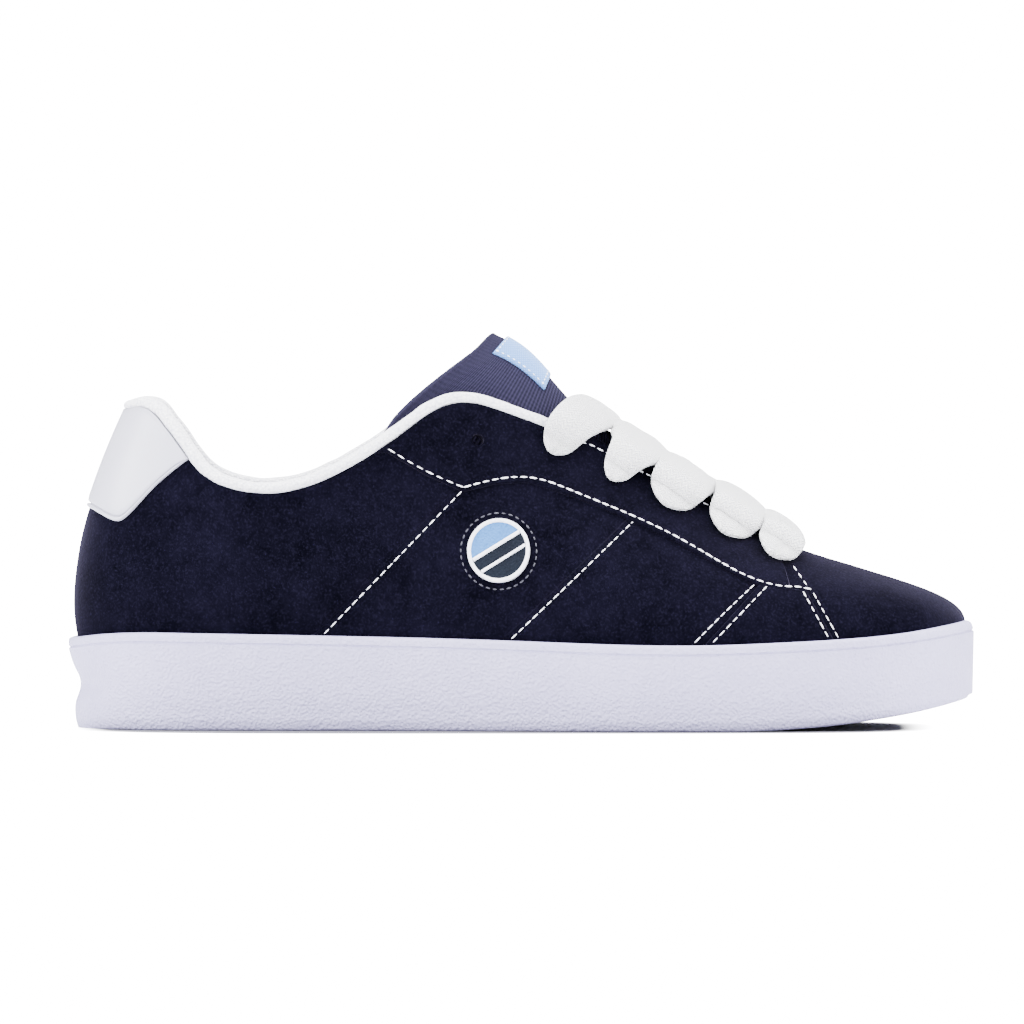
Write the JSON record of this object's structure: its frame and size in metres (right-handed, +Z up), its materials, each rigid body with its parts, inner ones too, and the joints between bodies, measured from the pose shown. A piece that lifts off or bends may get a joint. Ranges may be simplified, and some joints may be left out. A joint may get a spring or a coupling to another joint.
{
  "type": "skateboarding shoe",
  "caption": "Low right shoe with a flat rubber cup sole, suede upper, padded tongue, rolled collar and fat flat laces.",
  "frame": {"origin": "centre of the shoe's bounding box, at the ground under the sole", "axes": "+X from the heel to the toe, +Y to the inner side of the foot, +Z up"},
  "size_m": [0.298, 0.1094, 0.1306],
  "materials": {
    "sole_rubber": "matt white moulded rubber",
    "lining": "pale woven sockliner",
    "suede": "navy suede with a short nap",
    "smooth_leather": "smooth white leather, satin",
    "towelling": "white looped towelling",
    "ribbed_fabric": "navy ribbed fabric over foam",
    "woven_label": "light blue woven label",
    "badge_rubber": "moulded rubber in white, light blue and slate",
    "lace_knit": "white knitted cotton lace"
  },
  "bodies": {
    "root": {"sole": "sole_rubber", "insole": "lining", "upper": "suede", "eyestay_outer": "suede", "eyestay_inner": "suede", "patch_outer": "suede", "patch_inner": "suede", "heel_tab": "smooth_leather", "collar_roll": "towelling", "tongue": "ribbed_fabric", "tongue_label": "woven_label", "badge": "badge_rubber", "laces": "lace_knit"}
  },
  "joints": []
}
